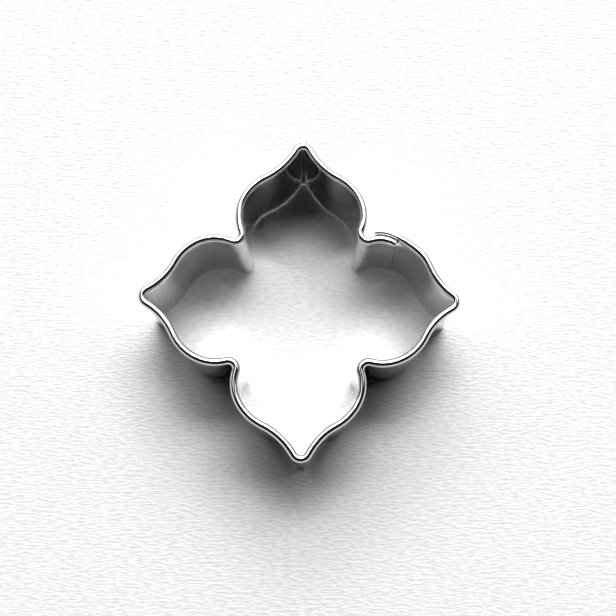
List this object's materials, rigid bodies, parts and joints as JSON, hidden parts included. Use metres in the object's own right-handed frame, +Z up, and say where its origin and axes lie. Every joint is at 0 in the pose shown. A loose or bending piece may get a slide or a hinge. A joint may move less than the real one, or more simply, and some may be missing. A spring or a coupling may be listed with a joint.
{
  "type": "pastry cutter",
  "caption": "Open flower-shaped pastry cutter ring with pointed petals, bent from stainless strip, with a rolled rim above and a bare cutting edge below.",
  "frame": {"origin": "on the surface that the cutting edge stands on, under the middle of the ring", "axes": "+Z up from the bare cutting edge to the rolled rim; a petal points along each of +X, +Y, -X and -Y; the lapped and welded ends are on the +Y side of the petal along +X"},
  "size_m": [0.06, 0.06, 0.022],
  "materials": {
    "stainless_steel": "bright rolled stainless sheet, nearly mirror, with faint rolling lines and handling marks",
    "weld_steel": "duller stainless, pressed by the welding electrodes"
  },
  "bodies": {
    "root": {"cutter_band": "stainless_steel", "spot_welds": "weld_steel"}
  },
  "joints": []
}
